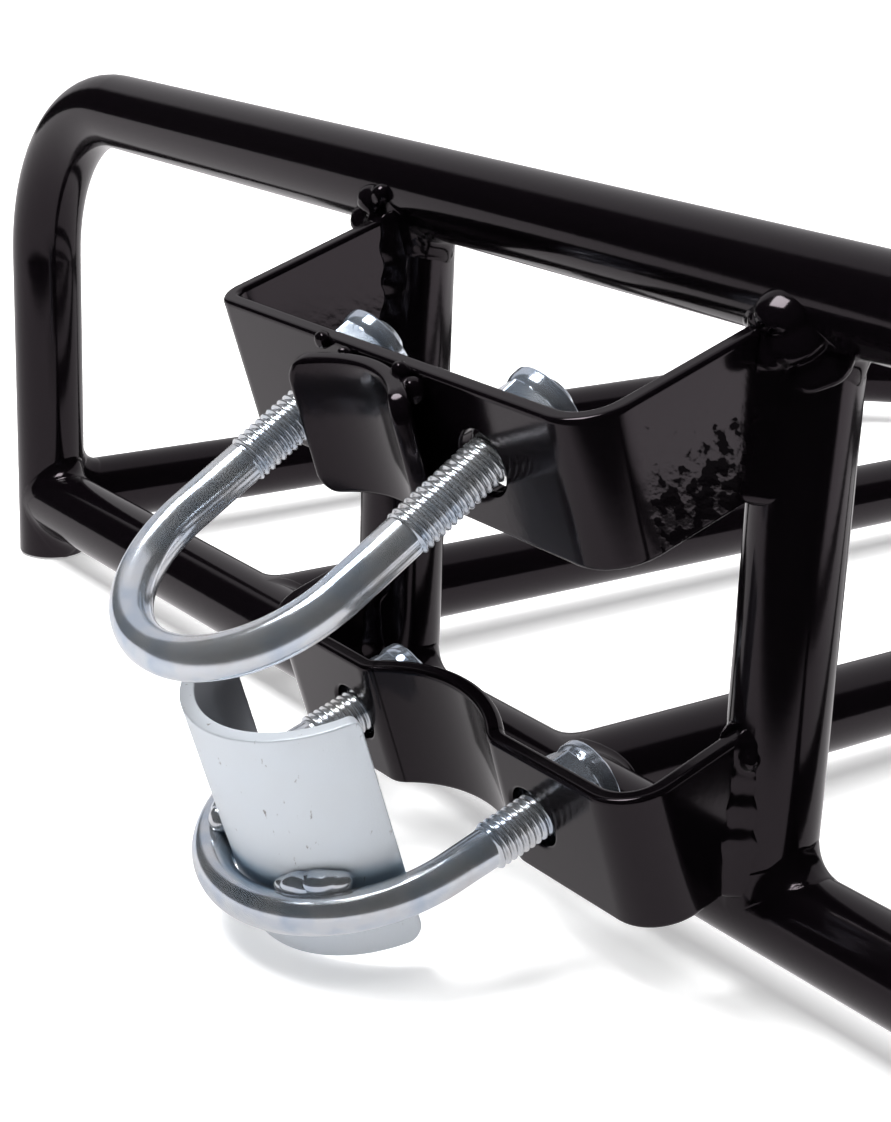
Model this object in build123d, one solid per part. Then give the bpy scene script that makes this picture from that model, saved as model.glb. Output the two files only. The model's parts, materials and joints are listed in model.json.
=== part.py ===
from build123d import *
import os
from math import cos, radians, sin, tan

# Front luggage carrier in welded steel tube, clamped to a head tube by two U-bolts. Millimetres, +Z up,
# +Y away from the cycle. It is drawn about the fence plane (Y = 0) and the bottom rail's axis (Z = 0),
# and moved at the end so that the origin is the middle of its footprint on the ground.

# Tube frame
TUBE_OD = 16.0
TUBE_WALL = 1.2
FENCE_HALF = 200.0          # upright's axis from the middle plane
FENCE_RISE = 98.0           # top rail's axis above the bottom rail's
FENCE_BEND = 38.0           # bend radius on the axis
FOOT_DROP = 13.5            # foot's end below the bottom rail's axis
POST_HALF = 51.0            # post's axis from the middle plane
PLATFORM_DEPTH = 300.0      # front rail's axis ahead of the fence plane
PLATFORM_BEND = 38.0
WELD_LEG = 2.2              # how far a bead reaches up the tube that butts
WELD_TOE = 2.4              # how far it reaches out over the tube that runs past
WELD_CROWN = 0.8            # how far it stands out where the two tubes are flush
TACK_LENGTH = 8.2           # vertical beads between the saddle and the strip
TACK_OFF = 4.4              # their middles from the middle plane
SHELL_TACK = 6.6            # beads along the bow on the shell's back, and their middles off the plane

# Clamp brackets, bent from flat strip. Their faces lean with the head tube.
HEAD_LEAN = 19.0            # head tube's axis from the vertical, in degrees
STRIP_WIDTH = 25.0
STRIP_T = 3.0
UPPER_REACH = 38.3          # fence plane to the middle of the upper bracket's face
UPPER_HEIGHT = 70.1         # bottom rail's axis to the same point
BRACKET_PITCH = 60.1        # upper to lower bracket, along the head tube
LOWER_STEP = 9.0            # lower face ahead of the upper one, towards the head tube
UPPER_INSET = 1.0           # bracket's outer side inboard of the post's axis
LOWER_INSET = -1.0
UPPER_BEND_LEFT = 2.0       # inside radii of the bends
UPPER_BEND_RIGHT = 6.0
LOWER_BEND = 6.0
BOLT_HOLE_D = 10.5
TROUGH_HALF = 17.6          # shoulder of the dip in the lower face, from the middle plane
TROUGH_DEPTH = 6.2
TROUGH_SLOPE = 35.0         # steepest slope of its sides, in degrees
SHOULDER_R = 3.0            # inside radius of the bends at its shoulders

# Upper saddle: a slice of tube that the head tube beds in
SADDLE_BORE_R = 21.0
SADDLE_WALL = 3.0
SADDLE_HALF_ANGLE = 43.0
SADDLE_HEIGHT = 24.6
SADDLE_CORNER = 4.0

# U-bolts, M8 with rolled threads
THREAD_D = 8.0
ROD_D = 7.15
UPPER_LEG_HALF = 22.5       # leg's axis from the middle plane
UPPER_LEG = 29.4            # bracket face to the start of the bow
UPPER_THREAD = 16.6         # thread that shows ahead of the bracket face
UPPER_DROOP = 14.2          # how far the loose U-bolt hangs out of square, in degrees
LOWER_LEG_HALF = 25.5
LOWER_LEG = 16.6
LOWER_THREAD = 9.4
END_STAND_OUT = 2.0         # leg's end past the nut
END_CHAMFER = 1.0

# Clamp shell: a slice of tube welded inside the lower bow
SHELL_WALL = 2.5
SHELL_HALF_ANGLE = 76.0
SHELL_UP = 30.8             # above the U-bolt's plane
SHELL_DOWN = 11.8
SHELL_LOW_CORNER = 3.0
SHELL_TOP_CORNER = 1.5
SHELL_PLAY = 0.125          # shell's radius under the bow's inside radius

# M8 nuts, a hexagon with a round collar at its outer end, and small washers
NUT_AF = 13.0
NUT_HEX = 6.0               # height of the hexagon alone
NUT_HEIGHT = 9.0
NUT_COLLAR_D = 14.0
NUT_PLAY = 0.05             # radial, over the thread's crest
WASHER_D = 12.0
WASHER_T = 1.0
WASHER_PLAY = 0.2
LOOSE_GAP = 0.15            # drooping washer's edge off the strip

R = TUBE_OD / 2
SLAT_PITCH = FENCE_HALF / 2
THREAD_R = THREAD_D / 2
EPS = 1.0                   # overshoot of cutting tools
CLOSE = 1e-3                # lengths this near are the same
SLIVER = 2.0                # cubic millimetres: smaller crumbs of a bead are dropped


def rod(radius, start, end):
    way = Vector(*end) - Vector(*start)
    return extrude(Plane(origin=start, z_dir=way) * Circle(radius), way.length)


def bentTube(path):
    ring = Circle(R) - Circle(R - TUBE_WALL)
    return sweep(Plane(origin=path @ 0, z_dir=path % 0) * ring, path)


def straightTube(start, end, cuts):
    body = rod(R, start, end) - rod(R - TUBE_WALL, start, end)
    for cut in cuts:
        body -= cut
    return largest(body)


def largest(shape):
    return max(shape.solids(), key=lambda solid: solid.volume)


# Solid bars along the tubes' axes, that cope whatever butts on them
bottomBar = rod(R, (-FENCE_HALF, 0, 0), (FENCE_HALF, 0, 0))
topBar = rod(R, (-FENCE_HALF, 0, FENCE_RISE), (FENCE_HALF, 0, FENCE_RISE))
frontBar = rod(R, (-FENCE_HALF, PLATFORM_DEPTH, 0), (FENCE_HALF, PLATFORM_DEPTH, 0))


def uprightBar(side):
    return rod(R, (side * FENCE_HALF, 0, -FOOT_DROP), (side * FENCE_HALF, 0, FENCE_RISE))


def postBar(side):
    return rod(R, (side * POST_HALF, 0, 0), (side * POST_HALF, 0, FENCE_RISE))


def fenceLoop():
    return bentTube(FilletPolyline(
        (-FENCE_HALF, 0, -FOOT_DROP), (-FENCE_HALF, 0, FENCE_RISE),
        (FENCE_HALF, 0, FENCE_RISE), (FENCE_HALF, 0, -FOOT_DROP), radius=FENCE_BEND))


def bottomRail():
    return straightTube((-FENCE_HALF, 0, 0), (FENCE_HALF, 0, 0), [uprightBar(-1), uprightBar(1)])


def post(side):
    x = side * POST_HALF
    return straightTube((x, 0, 0), (x, 0, FENCE_RISE), [bottomBar, topBar])


def platformLoop():
    loop = bentTube(FilletPolyline(
        (-FENCE_HALF, 0, 0), (-FENCE_HALF, PLATFORM_DEPTH, 0),
        (FENCE_HALF, PLATFORM_DEPTH, 0), (FENCE_HALF, 0, 0), radius=PLATFORM_BEND))
    return largest(loop - uprightBar(-1) - uprightBar(1) - bottomBar)


def slat(x):
    return straightTube((x, 0, 0), (x, PLATFORM_DEPTH, 0), [bottomBar, frontBar])


# Bracket frame: X as the rack's, Y square to the strip and into the rack, Z up along the strip,
# with its origin in the middle of the front face
upperFrame = Pos(0, -UPPER_REACH, UPPER_HEIGHT) * Rot(HEAD_LEAN, 0, 0)
lowerFrame = upperFrame * Pos(0, -LOWER_STEP, -BRACKET_PITCH)
upperHalf = POST_HALF - UPPER_INSET
lowerHalf = POST_HALF - LOWER_INSET
armLength = UPPER_REACH + FENCE_RISE


def strip(points, insideRadii):
    # Strip on edge. Its front follows the points, and its back runs parallel, STRIP_T to the left.
    corners = [Vector(*point) for point in points]
    left = [(end - start).normalized().rotate(Axis.Z, 90) for start, end in zip(corners, corners[1:])]
    back = [corners[0] + left[0] * STRIP_T]
    frontRadii = []
    backRadii = []
    for corner, before, after, radius in zip(corners[1:], left, left[1:], insideRadii):
        back.append(corner + (before + after) * (STRIP_T / (1 + before.dot(after))))
        turnsLeft = before.cross(after).Z > 0
        frontRadii.append(radius + STRIP_T if turnsLeft else radius)
        backRadii.append(radius if turnsLeft else radius + STRIP_T)
    back.append(corners[-1] + left[-1] * STRIP_T)
    sides = [FilletPolyline(*corners, radius=frontRadii), FilletPolyline(*back, radius=backRadii)]
    ends = [Line(corners[0], back[0]), Line(corners[-1], back[-1])]
    return extrude(make_face(sides + ends), STRIP_WIDTH / 2, both=True)


def trimToFence(body, frame):
    deep = 4 * armLength
    cycleSide = Pos(0, -deep / 2, 0) * Box(2 * FENCE_HALF, deep, deep)
    body = (frame * body) & cycleSide
    return largest(body - postBar(-1) - postBar(1) - topBar - bottomBar)


def boltHoles(legHalf):
    hole = Rot(90, 0, 0) * Cylinder(BOLT_HOLE_D / 2, 2 * STRIP_T + 4 * EPS)
    return [Pos(side * legHalf, STRIP_T / 2, 0) * hole for side in (-1, 1)]


def upperBracket():
    body = strip([(-upperHalf, armLength), (-upperHalf, 0), (upperHalf, 0), (upperHalf, armLength)],
                 [UPPER_BEND_LEFT, UPPER_BEND_RIGHT])
    return trimToFence(body - boltHoles(UPPER_LEG_HALF), upperFrame)


def lowerBracket():
    half = lowerHalf
    slope = radians(TROUGH_SLOPE)
    vee = TROUGH_HALF * tan(slope)                    # where the dip's two sides would meet
    floorR = (vee - TROUGH_DEPTH) / (1 / cos(slope) - 1)
    body = strip([(-half, armLength), (-half, 0), (-TROUGH_HALF, 0), (0, vee),
                  (TROUGH_HALF, 0), (half, 0), (half, armLength)],
                 [LOWER_BEND, SHOULDER_R, floorR, SHOULDER_R, LOWER_BEND])
    return trimToFence(body - boltHoles(LOWER_LEG_HALF), lowerFrame)


def tubeSlice(boreR, wall, halfAngle):
    # Sketch of a slice of tube about +Y, with its hollow side towards -Y
    reach = 2 * (boreR + wall) / cos(radians(halfAngle))
    x = reach * sin(radians(halfAngle))
    y = reach * cos(radians(halfAngle))
    wedge = Polygon((0, 0), (x, y), (-x, y), align=None)
    return (Circle(boreR + wall) - Circle(boreR)) & wedge


saddleAxis = Pos(0, -(SADDLE_BORE_R + SADDLE_WALL), 0)


def roundCorners(plate, wall, lowRadius, topRadius):
    for end, radius in ((0, lowRadius), (-1, topRadius)):
        corners = plate.edges().filter_by(lambda edge: abs(edge.length - wall) < CLOSE)
        plate = fillet(corners.group_by(Axis.Z)[end], radius)
    return plate


def upperSaddle():
    plate = extrude(tubeSlice(SADDLE_BORE_R, SADDLE_WALL, SADDLE_HALF_ANGLE), SADDLE_HEIGHT / 2, both=True)
    plate = roundCorners(plate, SADDLE_WALL, SADDLE_CORNER, SADDLE_CORNER)
    return upperFrame * saddleAxis * plate


# U-bolt frame: the bracket's, moved to the middle of the strip and turned by the droop.
# The legs lie in its XY plane and the bow is towards -Y.
upperBoltFrame = upperFrame * Pos(0, STRIP_T / 2, 0) * Rot(UPPER_DROOP, 0, 0)
lowerBoltFrame = lowerFrame * Pos(0, STRIP_T / 2, 0)
droop = radians(UPPER_DROOP)
upperSeat = (STRIP_T / 2 + WASHER_D / 2 * sin(droop)) / cos(droop) + LOOSE_GAP
lowerSeat = STRIP_T / 2


def bowCentre(leg):
    return -(STRIP_T / 2 + leg)


def bowPath(legHalf, leg):
    y = bowCentre(leg)
    return ThreePointArc((-legHalf, y, 0), (0, y - legHalf, 0), (legHalf, y, 0))


def uBolt(legHalf, leg, thread, seat):
    legEnd = seat + WASHER_T + NUT_HEIGHT + END_STAND_OUT
    threadStart = -(STRIP_T / 2 + thread)
    arc = bowPath(legHalf, leg)
    body = sweep(Plane(origin=arc @ 0, z_dir=arc % 0) * Circle(ROD_D / 2), arc)
    for side in (-1, 1):
        x = side * legHalf
        body += rod(ROD_D / 2, (x, bowCentre(leg), 0), (x, threadStart, 0))
        threaded = rod(THREAD_R, (x, threadStart, 0), (x, legEnd, 0))
        tip = threaded.faces().sort_by(Axis.Y)[-1]
        body += chamfer(tip.edges(), END_CHAMFER)
    return largest(body)


def nut(legHalf, side, seat):
    hexPart = extrude(RegularPolygon(NUT_AF / 2, 6, major_radius=False), NUT_HEX)
    collar = Pos(0, 0, NUT_HEX) * extrude(Circle(NUT_COLLAR_D / 2), NUT_HEIGHT - NUT_HEX)
    bore = Cylinder(THREAD_R + NUT_PLAY, 4 * NUT_HEIGHT)
    return Pos(side * legHalf, seat + WASHER_T, 0) * Rot(-90, 0, 0) * (hexPart + collar - bore)


def washer(legHalf, side, seat):
    ring = Circle(WASHER_D / 2) - Circle(THREAD_R + WASHER_PLAY)
    return Pos(side * legHalf, seat, 0) * Rot(-90, 0, 0) * extrude(ring, WASHER_T)


# The shell's back lies on the inside of the lower bow
shellR = LOWER_LEG_HALF - ROD_D / 2 - SHELL_PLAY
shellAxisY = bowCentre(LOWER_LEG) - SHELL_PLAY


def clampShell():
    plate = extrude(tubeSlice(shellR - SHELL_WALL, SHELL_WALL, SHELL_HALF_ANGLE), SHELL_UP + SHELL_DOWN)
    plate = roundCorners(plate, SHELL_WALL, SHELL_LOW_CORNER, SHELL_TOP_CORNER)
    return lowerBoltFrame * Pos(0, shellAxisY, -SHELL_DOWN) * Rot(0, 0, 180) * plate


# Weld beads: the space close to both tubes of a joint, outside every tube
def teeWeld(joint, branch, run, bars):
    near = Vector(*joint)
    branchWay = Vector(*branch)
    runWay = Vector(*run)
    span = R + 3 * WELD_TOE
    overRun = rod(R + WELD_TOE, joint, near + branchWay * span)
    upBranch = rod(R + WELD_LEG, near - runWay * span, near + runWay * span)
    body = overRun & upBranch
    # The bead is thin where the two tubes are flush, across the plane that they lie in
    sides = [2 * (R + WELD_CROWN) if abs(part) > 0.5 else 4 * span for part in branchWay.cross(runWay)]
    body = body & (Pos(near) * Box(*sides))
    for bar in bars:
        body -= bar
    return body


def frameWelds(brackets):
    beads = []
    for side in (-1, 1):
        x = side * FENCE_HALF
        sideBar = rod(R, (x, 0, 0), (x, PLATFORM_DEPTH / 2, 0))
        bars = [uprightBar(side), bottomBar, sideBar]
        corner = teeWeld((x, 0, 0), (-side, 0, 0), (0, 0, 1), bars)
        corner += teeWeld((x, 0, 0), (0, 1, 0), (0, 0, 1), bars)
        beads += corner.solids()
        x = side * POST_HALF
        beads += teeWeld((x, 0, 0), (0, 0, 1), (1, 0, 0), [postBar(side), bottomBar, *brackets]).solids()
        top = (x, 0, FENCE_RISE)
        beads += teeWeld(top, (0, 0, -1), (1, 0, 0), [postBar(side), topBar, *brackets]).solids()
    for x in (-SLAT_PITCH, 0, SLAT_PITCH):
        bar = rod(R, (x, 0, 0), (x, PLATFORM_DEPTH, 0))
        beads += teeWeld((x, 0, 0), (0, 1, 0), (1, 0, 0), [bar, bottomBar]).solids()
        beads += teeWeld((x, PLATFORM_DEPTH, 0), (0, -1, 0), (1, 0, 0), [bar, frontBar]).solids()
    return Compound(beads)


def armWelds(frame, half, bracket):
    beads = []
    for side in (-1, 1):
        x = side * (half - STRIP_T / 2)
        fat = frame * Pos(x, armLength / 2, 0) * Box(STRIP_T + 2 * WELD_LEG, armLength, STRIP_WIDTH)
        bead = fat & rod(R + WELD_LEG, (side * POST_HALF, 0, 0), (side * POST_HALF, 0, FENCE_RISE))
        bead = bead & (Pos(0, -2 * R, 0) * Box(4 * POST_HALF, 4 * R, 4 * FENCE_RISE))
        beads += (bead - bracket - postBar(side) - topBar - bottomBar).solids()
    return beads


def bracketWelds(upper, lower, frameBeads):
    beads = armWelds(upperFrame, upperHalf, upper) + armWelds(lowerFrame, lowerHalf, lower)
    beads = [solid for bead in beads for solid in (bead - frameBeads).solids()]
    return Compound([bead for bead in beads if bead.volume > SLIVER])


def saddleWelds(saddle):
    beads = []
    for side in (-1, 1):
        place = upperFrame * Pos(side * TACK_OFF, -WELD_LEG / 2, STRIP_WIDTH / 4)
        beads += (place * Box(TACK_OFF, WELD_LEG, TACK_LENGTH) - saddle).solids()
    return Compound(beads)


def shellWelds(bolt, shell):
    beads = []
    height = ROD_D / 2 + WELD_LEG
    ring = Pos(0, shellAxisY, 0) * extrude(Circle(shellR + WELD_LEG) - Circle(shellR), height)
    for side in (-1, 1):
        keep = Pos(side * SHELL_TACK, shellAxisY - shellR, 0) * Box(SHELL_TACK, shellR, 2 * height)
        beads += (lowerBoltFrame * (ring & keep) - bolt - shell).solids()
    return Compound(beads)


upper = upperBracket()
lower = lowerBracket()
saddle = upperSaddle()
upperBolt = upperBoltFrame * uBolt(UPPER_LEG_HALF, UPPER_LEG, UPPER_THREAD, upperSeat)
lowerBolt = lowerBoltFrame * uBolt(LOWER_LEG_HALF, LOWER_LEG, LOWER_THREAD, lowerSeat)
shell = clampShell()
frameBeads = frameWelds([upper, lower])

nodes = {
    "fence_loop": fenceLoop(),
    "bottom_rail": bottomRail(),
    "post_left": post(-1),
    "post_right": post(1),
    "platform_loop": platformLoop(),
    "slat_left": slat(-SLAT_PITCH),
    "slat_middle": slat(0),
    "slat_right": slat(SLAT_PITCH),
    "upper_bracket": upper,
    "lower_bracket": lower,
    "upper_saddle": saddle,
    "upper_u_bolt": upperBolt,
    "lower_u_bolt": lowerBolt,
    "clamp_shell": shell,
    "frame_welds": frameBeads,
    "bracket_welds": bracketWelds(upper, lower, frameBeads),
    "saddle_welds": saddleWelds(saddle),
    "shell_welds": shellWelds(lowerBolt, shell),
}
for side, word in ((-1, "left"), (1, "right")):
    nodes[f"upper_washer_{word}"] = upperBoltFrame * washer(UPPER_LEG_HALF, side, upperSeat)
    nodes[f"upper_nut_{word}"] = upperBoltFrame * nut(UPPER_LEG_HALF, side, upperSeat)
    nodes[f"lower_washer_{word}"] = lowerBoltFrame * washer(LOWER_LEG_HALF, side, lowerSeat)
    nodes[f"lower_nut_{word}"] = lowerBoltFrame * nut(LOWER_LEG_HALF, side, lowerSeat)

bowFront = (upperBoltFrame * Pos(0, bowCentre(UPPER_LEG) - UPPER_LEG_HALF, 0)).position.Y - ROD_D / 2
footprintMiddle = (bowFront + PLATFORM_DEPTH + R) / 2
toGround = Pos(0, -footprintMiddle, FOOT_DROP)
os.makedirs("parts", exist_ok=True)
for name, shape in nodes.items():
    export_step(toGround * shape, f"parts/{name}.step")

for name, frame in (("upper face", upperFrame), ("lower face", lowerFrame), ("upper bolt", upperBoltFrame),
                    ("lower bolt", lowerBoltFrame), ("head axis", upperFrame * saddleAxis),
                    ("shell axis", lowerBoltFrame * Pos(0, shellAxisY, 0))):
    print(name, (toGround * frame).position)
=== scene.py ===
import json
import bmesh
import bpy
import numpy as np
from mathutils import Matrix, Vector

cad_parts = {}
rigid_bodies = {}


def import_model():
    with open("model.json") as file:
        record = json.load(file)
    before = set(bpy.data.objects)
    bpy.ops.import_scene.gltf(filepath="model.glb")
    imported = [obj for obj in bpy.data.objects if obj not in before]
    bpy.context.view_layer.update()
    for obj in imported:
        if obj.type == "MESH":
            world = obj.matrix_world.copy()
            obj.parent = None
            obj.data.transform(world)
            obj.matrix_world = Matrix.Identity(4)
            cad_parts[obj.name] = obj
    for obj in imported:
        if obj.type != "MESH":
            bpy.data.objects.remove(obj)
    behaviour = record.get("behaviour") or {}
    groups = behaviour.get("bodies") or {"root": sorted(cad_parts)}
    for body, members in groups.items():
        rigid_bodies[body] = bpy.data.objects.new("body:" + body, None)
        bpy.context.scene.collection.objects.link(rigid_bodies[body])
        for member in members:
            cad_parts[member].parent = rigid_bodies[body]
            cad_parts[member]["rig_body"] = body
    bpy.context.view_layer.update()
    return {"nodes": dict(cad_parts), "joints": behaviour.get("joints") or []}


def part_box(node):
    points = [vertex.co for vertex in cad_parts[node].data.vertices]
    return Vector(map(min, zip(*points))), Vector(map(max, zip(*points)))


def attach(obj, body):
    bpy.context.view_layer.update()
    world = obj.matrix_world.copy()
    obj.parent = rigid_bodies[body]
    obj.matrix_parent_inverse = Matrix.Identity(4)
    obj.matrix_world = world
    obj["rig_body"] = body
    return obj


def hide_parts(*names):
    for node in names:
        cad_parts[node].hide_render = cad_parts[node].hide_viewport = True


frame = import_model()

mm = 0.001
joints = {joint["name"]: joint for joint in frame["joints"]}


def linear(hexColour):
    # sRGB hex to the linear colour that shaders take
    parts = np.array([int(hexColour[i:i + 2], 16) for i in (1, 3, 5)]) / 255
    low, high = parts / 12.92, ((parts + 0.055) / 1.055) ** 2.4
    return (*np.where(parts <= 0.04045, low, high), 1.0)


def setInputs(tree, node, inputs):
    # a value or a link for each named input
    for name, value in inputs.items():
        if isinstance(value, bpy.types.NodeSocket):
            tree.links.new(value, node.inputs[name])
        else:
            node.inputs[name].default_value = value


def addNode(tree, kind, inputs=None, **settings):
    # one shader node, with its settings and its inputs
    node = tree.nodes.new("ShaderNode" + kind)
    for name, value in settings.items():
        setattr(node, name, value)
    setInputs(tree, node, inputs or {})
    return node


def noise(tree, where, scale, detail, roughness=0.5):
    inputs = {"Vector": where, "Scale": scale, "Detail": detail, "Roughness": roughness}
    return addNode(tree, "TexNoise", inputs).outputs["Fac"]


def maths(tree, operation, *values):
    return addNode(tree, "Math", dict(enumerate(values)), operation=operation).outputs[0]


def distanceAlong(tree, where, way):
    inputs = {0: where, 1: tuple(way)}
    return addNode(tree, "VectorMath", inputs, operation="DOT_PRODUCT").outputs["Value"]


def remap(tree, value, fromRange, toRange=(0.0, 1.0), **settings):
    # a value carried from one range to another, and kept inside it
    (start, end), (low, high) = fromRange, toRange
    inputs = {"Value": value, "From Min": start, "From Max": end, "To Min": low, "To Max": high}
    return addNode(tree, "MapRange", inputs, **settings).outputs[0]


def bump(tree, height, depth, **inputs):
    return addNode(tree, "Bump", {"Height": height, "Distance": depth, **inputs}).outputs[0]


def blend(tree, share, first, second):
    # a mix of two colours: its sockets share their names with others, so they go by number
    return addNode(tree, "Mix", {0: share, 6: first, 7: second}, data_type="RGBA").outputs[2]


def colourRamp(tree, value, stops):
    # a colour for a value, from stops of a value and a colour each
    ramp = addNode(tree, "ValToRGB", {"Fac": value})
    elements = ramp.color_ramp.elements
    for number, (at, colour) in enumerate((stops[0], stops[-1])):
        elements[number].position, elements[number].color = at, linear(colour)
    for at, colour in stops[1:-1]:
        elements.new(at).color = linear(colour)
    return ramp.outputs["Color"]


def newMaterial(name):
    material = bpy.data.materials.new(name)
    material.use_nodes = True
    tree = material.node_tree
    return material, tree, tree.nodes["Principled BSDF"]


def smoothStep(t):
    return t * t * (3 - 2 * t)


def unit(vectors):
    return vectors / np.linalg.norm(vectors, axis=-1, keepdims=True)


def place(points, origin, across, up):
    # points given in a piece's own frame (x, y across, z up), moved to the carrier's frame
    across, up = unit(np.array(across, float)), unit(np.array(up, float))
    sideways = np.cross(across, up)
    return np.asarray(points) @ np.array([sideways, across, up]) + np.asarray(origin)


def gridFaces(rows, cols, closedRows, closedCols):
    # quads between neighbours on a grid that may join up with itself either way
    r, c = np.meshgrid(np.arange(rows if closedRows else rows - 1),
                       np.arange(cols if closedCols else cols - 1), indexing="ij")
    rNext, cNext = (r + 1) % rows, (c + 1) % cols
    corners = [r * cols + c, r * cols + cNext, rNext * cols + cNext, rNext * cols + c]
    return np.stack(corners, -1).reshape(-1, 4)


def addObject(name, data):
    thing = bpy.data.objects.new(name, data)
    bpy.context.scene.collection.objects.link(thing)
    return thing


def makePiece(name, grids, material, sharpAngle=35.0, attribute=None):
    # one mesh from one or more grids of points, each (points, closedRows, closedCols). A grid whose
    # rows don't join up is closed at both ends, with quads from one side of its loop to the other.
    # The attribute gives a plated piece's material the place along and round a rod, or 1 on a plate's
    # outer side and 0 elsewhere.
    verts, faces, start = [], [], 0
    for points, closedRows, closedCols in grids:
        rows, cols = points.shape[:2]
        verts.append(points.reshape(-1, 3))
        faces += (gridFaces(rows, cols, closedRows, closedCols) + start).tolist()
        if not closedRows:
            i = np.arange(cols // 2 - 1)
            cap = np.stack([i, i + 1, cols - 2 - i, cols - 1 - i], -1)
            faces += (cap + start).tolist()
            faces += (cap[:, ::-1] + start + (rows - 1) * cols).tolist()
        start += rows * cols
    mesh = bpy.data.meshes.new(name)
    mesh.from_pydata(np.concatenate(verts).tolist(), [], faces)
    if attribute is not None:
        layer = mesh.attributes.new("platePlace", "FLOAT_VECTOR", "POINT")
        layer.data.foreach_set("vector", attribute.astype(np.float32).ravel())
    skin = bmesh.new()
    skin.from_mesh(mesh)
    bmesh.ops.recalc_face_normals(skin, faces=skin.faces)
    skin.to_mesh(mesh)
    skin.free()
    mesh.shade_smooth()
    mesh.set_sharp_from_angle(angle=np.radians(sharpAngle))
    mesh.materials.append(material)
    return addObject(name, mesh)


def aim(thing, right, up, back, spot):
    # an object's own axes and its place
    matrix = np.eye(4)
    matrix[:3] = np.stack([right, up, back, spot], 1)
    thing.matrix_basis = Matrix(matrix)


def bakeModifiers(piece):
    # the modifiers' result becomes the piece's own mesh
    graph = bpy.context.evaluated_depsgraph_get()
    mesh = bpy.data.meshes.new_from_object(piece.evaluated_get(graph))
    piece.modifiers.clear()
    piece.data = mesh


def stands(piece, node):
    # the piece takes the CAD node's place, on the node's body
    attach(piece, frame["nodes"][node]["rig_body"])
    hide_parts(node)


def filletPath(corners, radii, stepDegrees=5.0, support=0.4 * mm):
    # straight lines through the corners, each corner rounded by a tangent arc: points and directions
    # A support point beside each arc keeps the straight stretches' shading straight.
    corners = np.array(corners, float)
    path, ahead = [corners[:1]], [unit(corners[1:2] - corners[:1])]
    for before, corner, after, radius in zip(corners, corners[1:], corners[2:], radii):
        back, on = unit(before - corner), unit(after - corner)
        half = np.arccos(np.clip(back @ on, -1, 1)) / 2
        centre = corner + unit(back + on) * radius / np.sin(half)
        spoke = corner + back * radius / np.tan(half) - centre
        side = np.array([-spoke[1], spoke[0]])
        turn = (np.pi - 2 * half) * np.sign(on[0] * back[1] - on[1] * back[0])
        count = int(abs(np.degrees(turn)) / stepDegrees) + 2
        angle = np.linspace(0, turn, count)[:, None]
        arc = centre + np.cos(angle) * spoke + np.sin(angle) * side
        path += [arc[:1] + back * support, arc, arc[-1:] + on * support]
        ahead += [-back[None], unit(np.cos(angle) * side - np.sin(angle) * spoke) * np.sign(turn), on[None]]
    path.append(corners[-1:])
    ahead.append(unit(corners[-1:] - corners[-2:-1]))
    return np.concatenate(path), np.concatenate(ahead)


def sweep(path, ahead, upright, section):
    # a section carried along a flat path: section is n x 2, or rows x n x 2 to change on the way.
    # Its first number goes square to the path in its plane, and its second along the plane's normal.
    across = np.cross(upright, ahead)
    section = np.broadcast_to(section, (len(path), *np.shape(section)[-2:]))
    return path[:, None] + section[..., :1] * across[:, None] + section[..., 1:] * np.asarray(upright)


def circle(radius, count):
    angle = np.arange(count) * 2 * np.pi / count
    return radius * np.stack([np.cos(angle), np.sin(angle)], -1)


# Black powder coat: steel dusted with polyester powder and baked, a deep gloss black with a slightly
# warm shine, level on the tubes. On the faces of the upper arms, where it lay on mill scale, it is
# pebbled, with pits that slant down the face and crowd together towards the strip's lower edge. In the
# pits the shine is turned down: a painted dark reflection, for pits that mirror the dark room.
coat = dict(colour="#070507", shine="#FFEFFA", roughness=(0.08, 0.15), ior=1.36, sheen=0.5,
            peelSize=2.2 * mm, peelDepth=0.010 * mm, hazeScale=60.0,
            pebbleSize=1.8 * mm, pebbleDepth=0.10 * mm, slant=-0.5, stretch=1.7,
            pitted=0.40, pitEdge=(0.84, 0.90), pitPaintedSheen=0.02,
            # where the pebbling starts and is full: out from the middle, back from the strip's face,
            # and up the strip
            armInside=(46.5 * mm, 47.5 * mm), armOutside=(50.6 * mm, 50.4 * mm),
            behindFace=(7.5 * mm, 9 * mm), downStrip=(11 * mm, -5 * mm), lowEdge=(-13.5 * mm, -13 * mm))


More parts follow.
